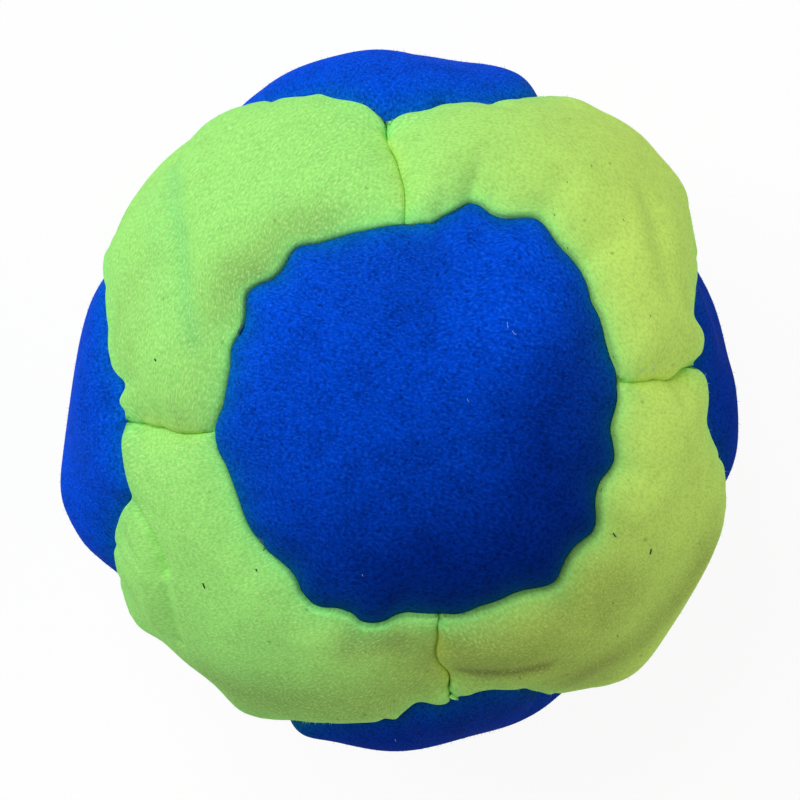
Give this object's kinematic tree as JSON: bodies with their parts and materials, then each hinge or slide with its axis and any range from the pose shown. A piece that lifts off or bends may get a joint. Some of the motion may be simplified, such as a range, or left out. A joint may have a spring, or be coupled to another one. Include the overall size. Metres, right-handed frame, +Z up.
{
  "type": "footbag",
  "caption": "Small round footbag: round and three-sided suede panels hand sewn over a loose pellet fill, lying at rest on the flat its weight makes.",
  "frame": {"origin": "on the floor, under the middle of the bag at rest", "axes": "+Z up, through the middle of the top round panel; +X and +Y through the middles of two side round panels"},
  "size_m": [0.052, 0.052, 0.0485],
  "materials": {
    "blue_suede": "matte napped suede cloth",
    "lime_suede": "matte napped suede cloth",
    "sewing_thread": "twisted synthetic thread",
    "pellets": "satin"
  },
  "bodies": {
    "root": {"round_panel_top": "blue_suede", "round_panel_bottom": "blue_suede", "round_panel_left": "blue_suede", "round_panel_right": "blue_suede", "round_panel_front": "blue_suede", "round_panel_back": "blue_suede", "corner_panel_top_front_left": "lime_suede", "corner_panel_top_front_right": "lime_suede", "corner_panel_top_back_left": "lime_suede", "corner_panel_top_back_right": "lime_suede", "corner_panel_bottom_front_left": "lime_suede", "corner_panel_bottom_front_right": "lime_suede", "corner_panel_bottom_back_left": "lime_suede", "corner_panel_bottom_back_right": "lime_suede", "round_thread_top": "sewing_thread", "round_thread_bottom": "sewing_thread", "round_thread_left": "sewing_thread", "round_thread_right": "sewing_thread", "round_thread_front": "sewing_thread", "round_thread_back": "sewing_thread", "edge_thread_top_left": "sewing_thread", "edge_thread_top_right": "sewing_thread", "edge_thread_top_front": "sewing_thread", "edge_thread_top_back": "sewing_thread", "edge_thread_bottom_left": "sewing_thread", "edge_thread_bottom_right": "sewing_thread", "edge_thread_bottom_front": "sewing_thread", "edge_thread_bottom_back": "sewing_thread", "edge_thread_left_front": "sewing_thread", "edge_thread_left_back": "sewing_thread", "edge_thread_right_front": "sewing_thread", "edge_thread_right_back": "sewing_thread", "pellet_fill": "pellets"}
  },
  "joints": []
}
